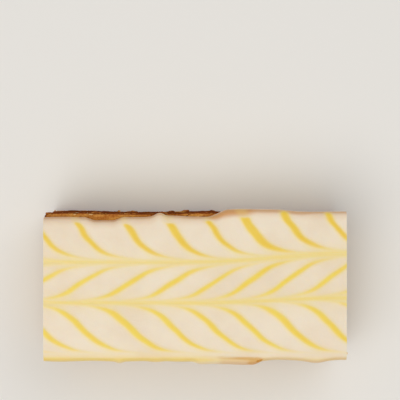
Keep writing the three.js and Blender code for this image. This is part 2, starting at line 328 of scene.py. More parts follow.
def dragged(y):
    """How far a piped line is dragged along X at y: each pass pulls it by its strength times the
    logarithm of the distance to that pass, blunted by the skewer's tip."""
    total = DRAG_SHIFT
    for at, pull in DRAGS:
        total = total - log((y - at) * (y - at) + DRAG_BLUNT**2) * (pull / 2)
    return total


def slant(y):
    """How much longer than across it a dragged line is cut along X at y: sqrt(1 + (dx/dy)^2)."""
    slope = 0.0
    for at, pull in DRAGS:
        slope = slope - (y - at) * pull / ((y - at) * (y - at) + DRAG_BLUNT**2)
    return (slope * slope + 1.0) ** 0.5


def piped_lines():
    """Where each line was piped and how wide it is, with those beyond the cut ends."""
    before = [(PIPED_AT[0] - n * PIPED_PITCH, PIPED_WIDTH[1]) for n in range(PIPED_BEFORE, 0, -1)]
    after = [(PIPED_AT[-1] + n * PIPED_PITCH, PIPED_WIDTH[0]) for n in range(1, PIPED_AFTER + 1)]
    return before + list(zip(PIPED_AT, PIPED_WIDTH)) + after


def line_strength(x, y, soft):
    """How much of a yellow line lies at (x, y), 0 to 1: the sum over the lines of a band that is blurred
    by soft across the dragged line. The thinner a line is dragged, the paler it gets."""
    flat_y = unclimbed(x, y)
    along = x - dragged(flat_y)
    for far, per_x, per_y in LINE_WANDER:
        along = along + far * sine(x * per_x + y * per_y)
    along = along + LINE_LEAN * ease(y, *LEAN_OVER)
    longer = slant(flat_y)
    blur = longer * soft
    widened = longer**LINE_THINS
    front = ease(y, *FRONT_OVER)
    strength = 0.0
    for at, (back_width, front_width) in piped_lines():
        half = widened * (front * ((front_width - back_width) / 2) + back_width / 2)
        away = along - at
        strength = ease(away + half, -blur, blur) - ease(away - half, -blur, blur) + strength
    return strength


def piped_here(x, y):
    """0 at the back edge, 1 from where the line that lies nearest starts, and 0 from the last pass on."""
    at_back = dragged(icing_back(0.0)) + np.array(PIPED_AT)
    start = np.interp(x, at_back, PIPED_FROM)
    before, after = START_BLEND
    started = ease(icing_back(x) - y, start + before, start + after)
    return started * ease(unclimbed(x, y), *LINES_OVER)


def near_drag(x, y, spread, passes=DRAGS):
    """1 on the skewer's passes, falling off to 0 as 1 / (1 + t^2)^2, where t is the distance in spreads."""
    flat_y = unclimbed(x, y)
    total = None
    for at, _ in passes:
        away = (flat_y - at) / spread
        close = 1.0 / (1.0 + away * away) ** 2.0
        total = close if total is None else greater(total, close)
    return total


# ---- Meshes ----

MERGE_STEPS = 20000  # to a millimetre; points that round to the same step are one


def grid_triangles(rows, columns, first):
    """Two triangles for each cell of a grid of points numbered row by row from first."""
    cell = first + np.arange(rows - 1)[:, None] * columns + np.arange(columns - 1)
    a, b, c, d = cell, cell + 1, cell + columns + 1, cell + columns
    return np.stack([a, b, c, a, c, d], axis=-1).reshape(-1, 3)


def join(grids):
    """One surface from several grids of points (rows, columns, 3) with their values (rows, columns) by
    name. Points that coincide become one, and triangles that this flattens are dropped."""
    points, triangles, values, first = [], [], {}, 0
    for grid, named in grids:
        triangles.append(grid_triangles(*grid.shape[:2], first))
        first += grid.shape[0] * grid.shape[1]
        points.append(grid.reshape(-1, 3))
        for name, value in named.items():
            values.setdefault(name, []).append(np.broadcast_to(value, grid.shape[:2]).ravel())
    points = np.concatenate(points)
    keys = np.round(points * MERGE_STEPS).astype(np.int64)
    _, kept, number = np.unique(keys, axis=0, return_index=True, return_inverse=True)
    faces = number.ravel()[np.concatenate(triangles)]
    a, b, c = faces.T
    faces = faces[(a != b) & (b != c) & (c != a)]
    return points[kept], faces, {n: np.concatenate(v)[kept] for n, v in values.items()}


def facing_out(points, faces):
    """The triangles turned so that the closed surface holds a positive volume."""
    a, b, c = (points[corner] for corner in faces.T)
    volume = np.einsum("ij,ij->", a, np.cross(b, c))
    return faces if volume > 0 else faces[:, ::-1]


def make_piece(name, grids, finish, sharp):
    """A piece from grids of points in millimetres, in the slice's own frame, shaded smooth except where
    its faces turn by more than the sharp angle. It rides on the slice."""
    points, faces, values = join(grids)
    faces = facing_out(points, faces)
    mesh = bpy.data.meshes.new(name)
    mesh.vertices.add(len(points))
    mesh.vertices.foreach_set("co", in_metres(points).ravel())
    mesh.loops.add(faces.size)
    mesh.loops.foreach_set("vertex_index", faces.ravel().astype(np.int32))
    mesh.polygons.add(len(faces))
    mesh.polygons.foreach_set("loop_start", np.arange(0, faces.size, 3, dtype=np.int32))
    mesh.update(calc_edges=True)
    mesh.polygons.foreach_set("use_smooth", np.ones(len(faces), dtype=bool))
    mesh.set_sharp_from_angle(angle=np.radians(sharp))
    for key, value in values.items():
        layer = mesh.attributes.new(key, "FLOAT", "POINT")
        layer.data.foreach_set("value", value.astype(np.float32))
    mesh.materials.append(finish)
    piece = bpy.data.objects.new(name, mesh)
    bpy.context.scene.collection.objects.link(piece)
    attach(piece, "root")
    return piece


# ---- Finishes ----


class Finish:
    """A material, and the one way in which nodes get into it."""

    def __init__(self, name, **constants):
        self.material = bpy.data.materials.new(name)
        self.material.use_nodes = True
        self.tree = self.material.node_tree
        self.shader = self.tree.nodes["Principled BSDF"]
        for socket, value in constants.items():
            self.shader.inputs[socket.replace("_", " ")].default_value = value

    def node(self, kind, settings=None, inputs=None, output=0):
        """A new node: its settings first, then its sockets' values or links. Gives one of its outputs."""
        made = self.tree.nodes.new(kind)
        for name, value in (settings or {}).items():
            if name == "stops":
                self.set_stops(made.color_ramp, value)
            else:
                setattr(made, name, value)
        for name, value in (inputs or {}).items():
            if isinstance(value, Wire):
                self.tree.links.new(value.socket, made.inputs[name])
            else:
                made.inputs[name].default_value = value
        return Wire(self, made.outputs[output])

    @staticmethod
    def set_stops(ramp, stops):
        while len(ramp.elements) < len(stops):
            ramp.elements.new(1.0)
        for element, (place, colour) in zip(ramp.elements, stops):
            element.position = place
            element.color = colour

    def place(self):
        """The Object coordinates as a vector, in mm."""
        metres = self.node("ShaderNodeTexCoord", output=3)
        return self.node("ShaderNodeVectorMath", {"operation": "SCALE"}, {0: metres, 3: 1 / MM})

    def axes(self, place):
        """X and Y of the slice's own frame, and Z, in mm."""
        x, y, z = (self.node("ShaderNodeSeparateXYZ", None, {0: place}, axis) for axis in range(3))
        return x, y - DRIFT, z

    def attribute(self, name):
        return self.node("ShaderNodeAttribute", {"attribute_name": name}, output=2)

    def noise(self, place, scale, detail=3.0, roughness=0.5, stretched=(1, 1, 1)):
        """Noise with scale cells a millimetre, 0 to 1, with that many times more cells along each axis."""
        if stretched != (1, 1, 1):
            settings = {"operation": "MULTIPLY"}
            place = self.node("ShaderNodeVectorMath", settings, {0: place, 1: stretched})
        inputs = {"Vector": place, "Scale": scale, "Detail": detail, "Roughness": roughness}
        return self.node("ShaderNodeTexNoise", None, inputs)

    def blend(self, share, first, second):
        """Two colours blended by a share from 0 to 1."""
        inputs = {0: share, 6: first, 7: second}
        return self.node("ShaderNodeMix", {"data_type": "RGBA"}, inputs, output=2)

    def ramp(self, share, stops):
        return self.node("ShaderNodeValToRGB", {"stops": stops}, {"Fac": share})

    def feed(self, socket, wire):
        self.tree.links.new(wire.socket, self.shader.inputs[socket])

    def bump(self, height, depth):
        """Relief of that depth in millimetres, from a height of 0 to 1."""
        inputs = {"Strength": 1.0, "Distance": depth * MM, "Height": height}
        self.feed("Normal", self.node("ShaderNodeBump", None, inputs))


def tone(red, green, blue):
    """A colour as a painter's chart gives it, 0 to 255, as linear light with an alpha of 1: the inverse
    of the curve by which screens brighten dark tones."""
    chart = np.array([red, green, blue]) / 255
    linear = np.where(chart < 0.04045, chart / 12.92, ((chart + 0.055) / 1.055) ** 2.4)
    return (*linear.tolist(), 1.0)


ICING_WHITE = tone(242, 227, 204)
# The tone of the warm blotches, and the painted shade where the icing's edges roll over and on its
# underside.
ICING_BLOTCH_AND_SHADE = tone(226, 200, 166)
# Tan where the icing is thin over the pastry and in the front rim's streak. Through the thin value it also
# carries a little painted shade where the edges roll over.
ICING_TAN = tone(213, 158, 102)
LINE_PALE = tone(243, 219, 132)
LINE_YELLOW = tone(247, 220, 90)
LINE_DEEP = tone(236, 195, 56)
CUSTARD_PALE = tone(255, 229, 156)
CUSTARD_DEEP = tone(248, 206, 116)
PASTRY_STOPS = (
    (0.0, tone(252, 226, 170)),
    (0.35, tone(243, 203, 130)),
    (0.6, tone(218, 156, 74)),
    (0.82, tone(174, 100, 30)),
    (1.0, tone(122, 58, 12)),
)

# How the yellow is smeared, in millimetres.
LINE_WOBBLE = 0.8
SMEAR = 0.32  # how strongly the lines go on behind their starts
SMEAR_OVER = (12.0, 16.0)
PALE_NEAR_DRAG = (0.7, 1.8)  # how much paler the lines are on the skewer's passes, and the spread
NARROW_HAZE = 1.0  # spread
WIDE_HAZE = (0.18, 4.5)  # how strong, and the spread
DEEP_OVER = (3.0, 13.0)  # the lines are deeper yellow towards the back
RIM_STREAK = -21.95  # where smeared yellow runs along the front edge
RIM_SPREAD = 0.8
RIM_OVER = (ICING_Z - 1.0, TOP_Z - 1.2)  # up the front's outside
RIM_FADES = (0.95, 0.65)  # how strong the streak is, and how much of that is lost towards +X
RIM_FADES_OVER = (-2.0, 13.0)


def front_rim(x, y, z):
    """How strong the streak along the front edge is: 1 / (1 + t^2), where t is the distance in spreads,
    on the upper part of the edge, and less towards +X."""
    away = (y - RIM_STREAK) / RIM_SPREAD
    strong, lost = RIM_FADES
    return 1.0 / (1.0 + away * away) * ease(z, *RIM_OVER) * (strong - lost * ease(x, *RIM_FADES_OVER))


def icing_finish():
    """White icing with warm blotches, darkened by painted shade where its edges roll over, and tan where
    it is thin at its rolled edges, with the feathered lines in yellow: deep in their middle, pale where
    the skewer has smeared them."""
    finish = Finish(
        "feathered_icing",
        Subsurface_Weight=0.25,
        Subsurface_Radius=(1.0, 0.75, 0.45),
        Subsurface_Scale=0.8 * MM,
        IOR=1.46,
    )
    place = finish.place()
    x, y, z = finish.axes(place)
    skin = 1.0 - finish.attribute("depth")
    blotches = ease(finish.noise(place, 0.09, 2.0), 0.3, 0.8)
    # Warm blotches, plus painted shade that grows with roll, where the edges roll over and on the
    # underside. Then tan where the icing is thin, with a little painted shade in it too.
    blotches_and_shade = 0.35 * blotches + 0.15 * finish.attribute("roll")
    white = finish.blend(blotches_and_shade, ICING_WHITE, ICING_BLOTCH_AND_SHADE)
    white = finish.blend(finish.attribute("thin"), white, ICING_TAN)

    wobble = finish.noise(place, 0.16, 1.0)
    strength = line_strength(x + (wobble - 0.5) * LINE_WOBBLE, y, LINE_BLUR)
    smeared = strength * greater(finish.attribute("piped"), SMEAR * ease(y, *SMEAR_OVER))
    paler, near = PALE_NEAR_DRAG
    crisp = smeared * (1.0 - paler * near_drag(x, y, near))
    streaks = ease(finish.noise(place, 0.3, stretched=(0.2, 2.4, 1.0)), 0.3, 0.7)
    strong, wide = WIDE_HAZE
    haze = near_drag(x, y, NARROW_HAZE, HAZY_DRAGS) * (0.45 + 0.32 * streaks)
    haze = haze + strong * near_drag(x, y, wide, HAZY_DRAGS)
    rim = front_rim(x, y, z)
    haze = greater(haze, rim * (0.65 + 0.35 * streaks))
    pale = 1.0 - (1.0 - smeared * 0.95) * (1.0 - haze)
    colour = finish.blend(pale * skin, white, LINE_PALE)
    rich = 0.55 * finish.noise(place, 0.16, 2.0) + 0.4 * ease(y, *DEEP_OVER)
    yellow = finish.blend(rich, LINE_YELLOW, LINE_DEEP)
    deep = greater(ease(crisp, 0.3, 1.0), rim * 0.4) * skin
    colour = finish.blend(deep, colour, yellow)
    finish.feed("Base Color", finish.blend(rim * 0.15, colour, ICING_TAN))

    finish.feed("Roughness", 0.36 + 0.16 * finish.noise(place, 0.8) - 0.05 * crisp)
    fine = finish.noise(place, 2.4, roughness=0.55)
    broad = finish.noise(place, 0.35, 2.0)
    finish.bump(fine * 0.35 + broad, 0.12)
    return finish.material


def custard_finish():
    """Smooth set custard, pale yellow with faint swirls, moist, with the fine drag of the knife."""
    finish = Finish(
        "set_custard",
        Subsurface_Weight=0.35,
        Subsurface_Radius=(1.0, 0.7, 0.3),
        Subsurface_Scale=1.2 * MM,
        IOR=1.42,
    )
    place = finish.place()
    swirls = ease(finish.noise(place, 0.12, stretched=(1.0, 1.0, 1.8)), 0.2, 0.9)
    finish.feed("Base Color", finish.blend(swirls * 0.6, CUSTARD_PALE, CUSTARD_DEEP))
    finish.feed("Roughness", 0.26 + 0.22 * finish.noise(place, 1.1))
    drag = finish.noise(place, 1.6, 4.0, 0.6, stretched=(1.0, 1.0, 0.25))
    finish.bump(drag + finish.noise(place, 5.0, 2.0) * 0.3, 0.07)
    return finish.material


def pastry_finish():
    """Baked leaves: pale in the gaps, golden at the edges and brown on the outer skins, by the bake
    value of each point, with darker specks, and a dry crumb."""
    finish = Finish("baked_pastry", IOR=1.45, Specular_IOR_Level=0.2)
    place = finish.place()
    bake = finish.attribute("bake")
    patches = finish.noise(place, 0.22, 4.0, 0.6)
    specks = finish.noise(place, 1.7, 3.0, 0.6)
    share = bake + (patches - 0.5) * 0.55 + (specks - 0.5) * 0.4
    finish.feed("Base Color", finish.ramp(share, PASTRY_STOPS))
    finish.feed("Roughness", 0.5 + 0.35 * specks)
    crumb = finish.noise(place, 4.0, 4.0, 0.65)
    finish.bump(crumb + patches * 0.6, 0.16)
    return finish.material


# ---- Layers with upright sides ----

CUT_OVER = (HALF - 1.5, HALF - 0.2)  # from a long side to a cut end, round the corner


class Outline:
    """Places spread evenly round a rectangle with rounded corners, whose long sides stray a little."""

    def __init__(self, sides, count):
        front, back = sides
        self.middle = (front + back) / 2
        self.half = (back - front) / 2
        arc = np.pi / 2 * CORNER_RADIUS
        long_side = 2 * (HALF - CORNER_RADIUS)
        short_side = 2 * (self.half - CORNER_RADIUS)
        knots = np.cumsum([0, long_side, arc, short_side, arc, long_side, arc, short_side, arc])
        distance = np.linspace(0, knots[-1], count + 1)
        self.along = np.interp(distance, knots, [-1, 1, 1, 1, 1, -1, -1, -1, -1])
        self.across = np.interp(distance, knots, [-1, -1, -1, 1, 1, 1, 1, -1, -1])
        quarters = np.interp(distance, knots, [-1, -1, 0, 0, 1, 1, 2, 2, 3])
        self.cosine = np.cos(quarters * np.pi / 2)
        self.sine = np.sin(quarters * np.pi / 2)
        self.x, self.y, _ = np.moveaxis(self.ring(0.0, 0.0), -1, 0)
        self.cut = ease(abs(self.x), *CUT_OVER)  # 1 on the cut ends, 0 on the long sides

    def ring(self, inset, height):
        """The points that lie that far inside the outline, at that height."""
        reach = HALF - inset - CORNER_RADIUS
        half = self.half - inset - CORNER_RADIUS
        x = self.along * reach + CORNER_RADIUS * self.cosine
        y = self.across * half + CORNER_RADIUS * self.sine
        stray = np.where(y > 0, stray_back(x), stray_front(x))
        y = self.middle + y + stray * abs(y) / self.half
        return np.stack(np.broadcast_arrays(x, y, height), axis=-1)

    def pole(self, height):
        """The middle of a flat face, once for each place, which closes the surface there."""
        return np.broadcast_to([0.0, self.middle, height], (*self.x.shape, 3))

    def noise(self, size, level, seed, octaves=1):
        """Unevenness round the outline with lumps of that size, different on each level."""
        return rough(self.x / size, self.y / size, level * LEVEL_STEP, seed, octaves)


def as_grid(outline, rows, low_face, high_face):
    """A layer's closed surface: its side's rows of (inset, height, bake) from the bottom up, between
    the rows of its low face and of its high face and the poles that close them."""
    rows = [*low_face, *rows, *high_face]
    rings = [outline.ring(inset, height) for inset, height, _ in rows]
    low, high = (outline.pole(np.mean(rows[end][1])) for end in (0, -1))
    bake = [rows[0][2], *(value for _, _, value in rows), rows[-1][2]]
    bake = np.stack([np.broadcast_to(value, outline.x.shape) for value in bake])
    return np.stack([low, *rings, high]), {"bake": bake}


# ---- The pastry sheets ----

# Bake values go from 0, raw, to 1, nearly burnt. Insets and thicknesses are in millimetres.
LEAF_THICK = 0.24  # before the leaves and the gaps are rescaled to fill the sheet
LEAF_UNEVEN = 0.45  # share by which that varies
GAP_SHUT = 0.04
GAP_GAPES = 0.95  # more than that, where it gapes widest
DEPTH_SHUT = 0.25  # how deep a gap runs in behind the edges
DEPTH_GAPES = 2.0
EDGE_LEAST, EDGE_WORN, EDGE_NOTCHED, EDGE_BROKEN = 0.05, 0.5, 0.22, 0.85  # insets of a leaf's edge
OUTER_SHARE = 0.4  # of that inset, on the firmer outermost leaves
CUT_SHARE = 0.5  # what is lost of it on the clean cut ends
CURL_SHARE = 0.45  # of the room beside a leaf, by which its edge rises and falls
# The extra along the back is partly real browning and partly painted shadow beside the back edge.
BROWNER_AND_SHADOW = (0.04, 0.1, 0.09)  # everywhere, more along the back, and still more there towards -X
BACK_OVER = (0.0, 15.0)
LEFT_OVER = (-4.0, -22.0)
BAKE_LEAF, BAKE_UNEVEN, BAKE_CRUST = 0.38, 0.25, 0.34
BAKE_LIP = 0.06  # how much browner a leaf's upper lip is, and how much paler its lower one
BAKE_BELOW, BAKE_ABOVE, BAKE_LEDGE = 0.2, 0.24, 0.25  # behind a leaf's lips, and more on a ledge
BAKE_GAP = 0.02
HIDDEN_RING = 6.0  # inset of the innermost ring of a face that another layer hides


def leafy_sheet(outline, bottom, top, leaves, seed):
    """The side of a baked sheet of thin leaves, as rows of (inset, height, bake). Round the outline each
    leaf and each gap has its own height, and together they are rescaled to fill the sheet. A gap runs
    in behind the edges, the deeper the wider it gapes. Where a leaf stands out past its neighbour, the
    ledge is baked."""
    levels = range(leaves)
    thick = np.stack([LEAF_THICK * (1 + LEAF_UNEVEN * outline.noise(2.0, k, seed)) for k in levels])
    gape = np.stack([ease(outline.noise(6.5, k, seed + 10, 2), 0.0, 0.75) for k in levels[1:]])
    gap = GAP_SHUT + GAP_GAPES * gape
    depth = DEPTH_SHUT + DEPTH_GAPES * gape
    share = (top - bottom) / (thick.sum(axis=0) + gap.sum(axis=0))
    thick, gap = thick * share, gap * share
    low = bottom + np.vstack([0 * share, np.cumsum(thick[:-1] + gap, axis=0)])
    high = low + thick
    none = 0 * gap[:1]
    room = np.minimum(np.vstack([none, gap]), np.vstack([gap, none]))
    edges = [leaf_edge(outline, k, seed, k in (0, leaves - 1)) for k in levels]

    rows = []
    for k, edge in enumerate(edges):
        curl = CURL_SHARE * room[k] * outline.noise(3.0, k, seed + 50, 2)
        crust = abs(2.0 * k / (leaves - 1) - 1.0) ** 3  # 1 on the outermost leaves, 0 in the middle
        toast = leaf_bake(outline, k, seed, crust)
        if k > 0:
            ledge = np.clip(edges[k - 1] - edge, 0.0, None)
            baked = BAKE_BELOW + BAKE_LEDGE * ease(ledge, 0.0, 0.3)
            rows.append((edge + ledge + 0.5 * depth[k - 1], low[k], baked))
        rows.append((edge + 0.02, low[k] + curl, toast - BAKE_LIP))
        rows.append((edge, high[k] + curl, toast + BAKE_LIP))
        if k < leaves - 1:
            ledge = np.clip(edges[k + 1] - edge, 0.0, None)
            baked = BAKE_ABOVE + BAKE_LEDGE * ease(ledge, 0.0, 0.3)
            rows.append((edge + ledge + 0.5 * depth[k], high[k], baked))
            rows.append((edge + ledge + depth[k], high[k] + gap[k] / 2, BAKE_GAP))
    return rows


def leaf_edge(outline, k, seed, outermost):
    """How far a leaf's edge lies inside the outline: wear, crisp notches and stretches broken off."""
    worn = 0.5 + 0.5 * outline.noise(4.0, k, seed + 20, 3)
    notched = ease(outline.noise(1.1, k, seed + 30, 2), 0.1, 0.3)
    broken = ease(outline.noise(5.0, k, seed + 40, 2), 0.35, 0.42)
    firm = (OUTER_SHARE if outermost else 1.0) * (1.0 - CUT_SHARE * outline.cut)
    return firm * (EDGE_LEAST + EDGE_WORN * worn + EDGE_NOTCHED * notched + EDGE_BROKEN * broken)


def leaf_bake(outline, k, seed, crust):
    """How baked a leaf's edge is: unevenly, more the nearer crust is to 1, more along the back, where the
    added brown is partly real browning and partly painted shadow, and most there towards -X."""
    everywhere, back, left = BROWNER_AND_SHADOW
    browner_and_shadow = everywhere + (back + left * ease(outline.x, *LEFT_OVER)) * ease(outline.y, *BACK_OVER)
    toast = BAKE_LEAF + BAKE_UNEVEN * outline.noise(1.2, k, seed + 60, 2) + BAKE_CRUST * crust
    return np.maximum(toast + browner_and_shadow * (1.0 + 2.5 * crust), 0.3 + 1.2 * browner_and_shadow)


def skin_face(outline, height, sag, insets, seed, bake, size=1.6):
    """Rows of a baked face with dents of that size, up to sag deep, down or, if sag is negative, up."""
    rows = []
    for inset in insets:
        x, y, _ = np.moveaxis(outline.ring(inset, 0.0), -1, 0)
        dent = np.clip(0.5 + 0.5 * rough(x / size, y / size, SKIN_CUT, seed, 3), 0.0, None)
        patch = rough(x / 2.5, y / 1.2, SKIN_CUT, seed + 5, 2)
        rows.append((inset, height - sag * dent, bake + 0.12 * patch))
    return rows


def pastry_base():
    """The base sheet. Its underside, which is a baked skin up to the middle, lies open to view."""
    outline = Outline(BASE_SIDES, count=1100)
    rows = leafy_sheet(outline, BASE_Z, CUSTARD_Z, BASE_LEAVES, seed=11)
    insets = np.linspace(outline.half - CORNER_RADIUS - 0.05, 0.9, 18)
    foot = skin_face(outline, BASE_Z, -0.3, insets, seed=59, bake=0.78, size=4.0)
    roof = [(1.6, CUSTARD_Z, 0.5), (HIDDEN_RING, CUSTARD_Z, 0.5)]
    return [as_grid(outline, rows, foot, roof)]


def pastry_lid():
    """The lid sheet. Of its top, the strip that the icing leaves bare is a baked skin."""
    outline = Outline(LID_SIDES, count=1200)
    rows = leafy_sheet(outline, LID_Z, ICING_Z, LID_LEAVES, seed=37)
    foot = [(HIDDEN_RING, LID_Z, 0.5), (1.5, LID_Z, 0.5)]
    roof = skin_face(outline, ICING_Z, 0.22, np.linspace(0.5, 3.2, 12), seed=71, bake=0.74)
    return [as_grid(outline, rows, foot, [*roof, (HIDDEN_RING, ICING_Z, 0.8)])]


# ---- The custard ----

CUSTARD_INSET = 0.72  # of its side at top and bottom
CUSTARD_BULGE = 0.55  # how much further out it stands at half height
CUSTARD_PINCH = 0.5  # and how much further in where it meets a sheet
PINCH_SPREAD = 0.035  # share of the height
PITS = 260


def custard_block():
    """A block whose sides bulge by half a sine wave. They wander, are pinched in where they meet the
    sheets, and are pitted where bubbles burst: there the side dips by the depth of a ball's cap."""
    outline = Outline(CUSTARD_SIDES, count=760)
    random = np.random.default_rng(5)
    at = random.integers(0, len(outline.x) - 1, PITS)
    pit_z = random.uniform(CUSTARD_Z + 0.6, LID_Z - 0.6, PITS)
    radius = 0.16 + 0.5 * random.random(PITS) ** 3
    near = (outline.x[:, None] - outline.x[at]) ** 2 + (outline.y[:, None] - outline.y[at]) ** 2
    rows = []
    for level in np.linspace(0.0, 1.0, 62):
        z = CUSTARD_Z + level * (LID_Z - CUSTARD_Z)
        bulge = CUSTARD_BULGE * np.sin(np.pi * level)
        wander = 0.26 * rough(outline.x / 15, outline.y / 15, z / 9, 23, 2)
        grain = 0.05 * rough(outline.x / 0.9, outline.y / 0.9, z / 2.4, 29, 2)
        pinch = CUSTARD_PINCH * (bell(level, 0.0, PINCH_SPREAD) + bell(level, 1.0, PINCH_SPREAD))
        dip = np.sqrt(np.clip(radius**2 - near - (z - pit_z) ** 2, 0.0, None)).max(axis=1)
        rows.append((CUSTARD_INSET - bulge + wander + grain + pinch + 0.7 * dip, z, 0.0))
    foot, roof = ([(HIDDEN_RING, z, 0.0)] for z in (CUSTARD_Z, LID_Z))
    grid, _ = as_grid(outline, rows, foot, roof)
    return [(grid, {})]


# ---- The icing ----

EDGE_STEPS = 22  # points from the hanging lip to the shoulder
TOP_STEPS = 114  # points from shoulder to shoulder
CUT_STEPS = 9  # points down through a cut end
LINE_DEPTH = 0.9  # how deep the yellow goes into the white

# The rolled edge in section. Hanging: shares of the hanging wall's thickness outwards and of the hang
# downwards. Belly: how far inside the edge, the share of the hang by which it sinks, and how far up.
# Standing: shares of the shoulder inwards and of the plumpness outwards, then of the thickness and of
# the plumpness upwards.
EDGE_HANGING = ((0.3, 1.0), (0.75, 0.96))
EDGE_BELLY = (0.04, 0.45, 0.35)
EDGE_STANDING = ((0.0, 0.4, 0.36, 0.0), (0.14, 0.0, 0.68, 1.0), (0.5, 0.0, 0.92, 0.4), (1.0, 0.0, 1.0, 0.0))
KNEE_DROP = 0.4  # share of the hang, where the underside turns up beside the lid
RAGGED = 0.35  # how much the hang varies
PLUMP = 0.12  # and how much the edge's plumpness does
TOP_UNEVEN = 0.16
FURROW = 0.08  # how deep the skewer's furrow is
FURROW_SPREAD = 0.6
ROLL_OVER = (SHOULDER * 0.85, 0.1)  # inside the edge

# The crease in the front lobe. Its middle and spread are straight lines along X: height, slope, where.
CREASE_DEPTH = 0.35
CREASE_RUN = (5.5, 18.2, 2.5)
CREASE_MIDDLE = (-21.3, -0.04, 7)
CREASE_SPREAD = (0.25, 0.012, 5)

# Where the icing is thin: in a strip along the back, which is wider on the slope by which the edge runs
# out over the lid and past it, and on the front lobe. SPOTS: how strong, then middle and spread along
# X and along Y.
BACK_SLOPE = (3.0, 14.0, 5.0)
STRIP_WIDTH = 1.0
STRIP_WIDER = 2.3
STRIP_PAST_SLOPE = (1.1, 14.0, 32.0, 5.0)
THIN_SPOTS = ((1.0, 17.4, 1.2, -23.0, 0.7), (0.6, 19.4, 1.6, -22.0, 0.5))
THIN_LOBE = (0.45, 6.0, 18.5, 3.0)
THIN_LOBE_OVER = (-21.2, -21.7)


def through(controls, steps):
    """Points along a smooth curve through the controls: between two controls it is the cubic whose
    slope at each of them is half of the way between that control's neighbours."""
    ends = [2 * controls[0] - controls[1], *controls, 2 * controls[-1] - controls[-2]]
    points = []
    for place in np.linspace(0, len(controls) - 1, steps):
        k = min(int(place), len(controls) - 2)
        t = place - k
        before, here, there, after = ends[k : k + 4]
        points.append(
            (2 * t**3 - 3 * t**2 + 1) * here
            + (t**3 - 2 * t**2 + t) * (there - before) / 2
            + (3 * t**2 - 2 * t**3) * there
            + (t**3 - t**2) * (after - here) / 2
        )
    return np.stack(points)


def straight(controls, steps):
    """Points evenly along the straight lines from control to control."""
    controls = np.array(controls)
    places = np.linspace(0, len(controls) - 1, steps)
    first = places.astype(int).clip(0, len(controls) - 2)
    share = (places - first)[:, None, None]
    return controls[first] * (1 - share) + controls[first + 1] * share


def icing_edge(out, edge, lid_edge):
    """One rolled edge in section at every station: (steps, stations, 2) points from the lip's lowest
    point up its outside to the shoulder, and as many from there back under to below the shoulder."""
    reach, lid_reach = out * edge, out * lid_edge
    knee = np.minimum(lid_reach + LID_GAP, reach - LEAST_WALL)
    over = ease((reach - lid_reach - LID_GAP - LEAST_WALL) / HANG_BLEND)
    ragged = RAGGED * rough(STATIONS / 3.5, out * 3.0, FLAT, 81, 3)
    plump = PLUMP * rough(STATIONS / 5.0, out * 3.0, FLAT, 83, 2)
    hang = LEAST_HANG + (HANG - LEAST_HANG + ragged) * over
    wall = reach - knee
    flat = 0.0 * reach
    outside = [(knee + share * wall, -hang * drop) for share, drop in EDGE_HANGING]
    inside_by, sinks, up = EDGE_BELLY
    outside.append((reach - inside_by, -hang * sinks + up))
    for inwards, outwards, up, higher in EDGE_STANDING:
        outside.append((reach - inwards * SHOULDER + outwards * plump, up * ICING_THICK + higher * plump))
    inside = [outside[0], (knee, -hang * KNEE_DROP), (knee, flat), (reach - SHOULDER, flat)]
    outside, inside = through(np.array(outside), EDGE_STEPS), straight(inside, EDGE_STEPS)
    for side in (outside, inside):
        side[:, 0] *= out
        side[:, 1] += ICING_Z
    return outside.transpose(0, 2, 1), inside.transpose(0, 2, 1)


def icing_sections():
    """The icing's upper side and its underside, (stations, steps, 3) points each, from the front lip to
    the back lip: a rolled edge, straight on to the other's shoulder, and that edge."""
    back = icing_edge(1, icing_back(STATIONS), LID_SIDES[1] + stray_back(STATIONS))
    front = icing_edge(-1, icing_front(STATIONS), LID_SIDES[0] + stray_front(STATIONS))
    for f, b in zip(front, back):
        chain = np.concatenate([f, straight([f[-1], b[-1]], TOP_STEPS)[1:-1], b[::-1]])
        x = np.broadcast_to(STATIONS, chain.shape[:2])
        yield np.dstack([x, chain]).transpose(1, 0, 2)


def icing_relief(x, y):
    """The icing's top is a little uneven, its lines stand proud, and the skewer left furrows."""
    uneven = TOP_UNEVEN * rough(x / 13, y / 13, FLAT, 91, 2)
    lines = LINE_RELIEF * line_strength(x, y, RELIEF_BLUR) * piped_here(x, y)
    return uneven + lines - FURROW * near_drag(x, y, FURROW_SPREAD)


def thin_and_shaded_places(x, y, z, roll, crease):
    """How much tan the icing takes, 0 to 1: the most of two strips along the back edge and of the front
    edge past the lobe, where the icing is thin, and of the crease, plus the lobe's torn spots and a little
    painted shade where the edge rolls over. Low down it is a quarter."""
    to_back = icing_back(x) - y
    to_front = y - icing_front(x)
    slope = plateau(x, *BACK_SLOPE)
    width = STRIP_WIDTH + STRIP_WIDER * slope + shelf(x, STRIP_PAST_SLOPE)
    width = width * (1.0 + 0.12 * rough(x / 4.0, FLAT, FLAT, 97, 2))
    strip = ease(to_back, width, 0.1 + 0.9 * slope) * (0.78 + 0.22 * slope)
    faint = 0.24 * ease(to_back, 3.2, 0.4)
    past_lobe = 0.35 * ease(to_front, 1.6, 0.2) * ease(x, 16.0, 20.0)
    creased = crease * (0.35 + 0.65 * ease(x, 8.0, 16.0))
    torn = sum(much * bell(x, *spot[:2]) * bell(y, *spot[2:]) for much, *spot in THIN_SPOTS)
    torn = torn + shelf(x, THIN_LOBE) * ease(y, *THIN_LOBE_OVER)
    # The tenth of roll added last is painted shade where the edge rolls over.
    thin = np.maximum.reduce([strip, faint, past_lobe, creased]) + torn + 0.1 * roll
    return np.clip(thin, 0.0, 1.0) * (0.25 + 0.75 * ease(z, ICING_Z + 0.9, ICING_Z + 2.2))


